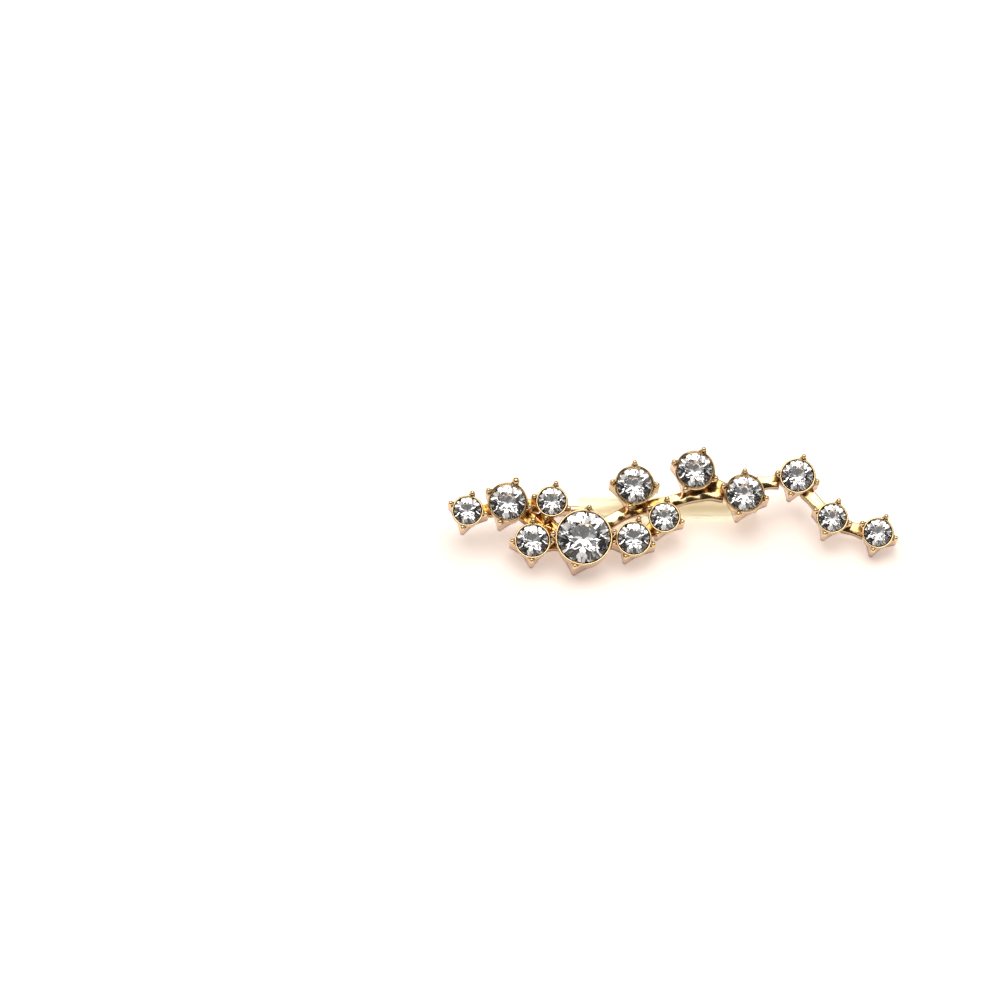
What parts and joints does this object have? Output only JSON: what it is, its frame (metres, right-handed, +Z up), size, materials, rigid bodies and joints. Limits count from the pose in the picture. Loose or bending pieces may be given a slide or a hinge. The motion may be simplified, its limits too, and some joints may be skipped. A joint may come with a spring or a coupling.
{
  "type": "ear climber",
  "caption": "Ear climber: a winding row of round glass stones in gold-tone pronged cups, with a sleeved ear wire behind, lying on a surface.",
  "frame": {"origin": "on the surface that the piece lies on, under the middle of its box", "axes": "+X along the line of its two feet towards the long tail, +Z up from the surface, the stones lean towards -Y"},
  "size_m": [0.0428, 0.0115, 0.0085],
  "materials": {
    "gold_metal": "polished pale gold plating over cast metal",
    "foiled_glass": "clear cut glass with a silver foil on its pointed back",
    "clear_sleeve": "soft translucent silicone"
  },
  "bodies": {
    "root": {"frame": "gold_metal", "sleeve": "clear_sleeve", "stone_01": "foiled_glass", "stone_02": "foiled_glass", "stone_03": "foiled_glass", "stone_04": "foiled_glass", "stone_05": "foiled_glass", "stone_06": "foiled_glass", "stone_07": "foiled_glass", "stone_08": "foiled_glass", "stone_09": "foiled_glass", "stone_10": "foiled_glass", "stone_11": "foiled_glass", "stone_12": "foiled_glass", "stone_13": "foiled_glass"}
  },
  "joints": []
}
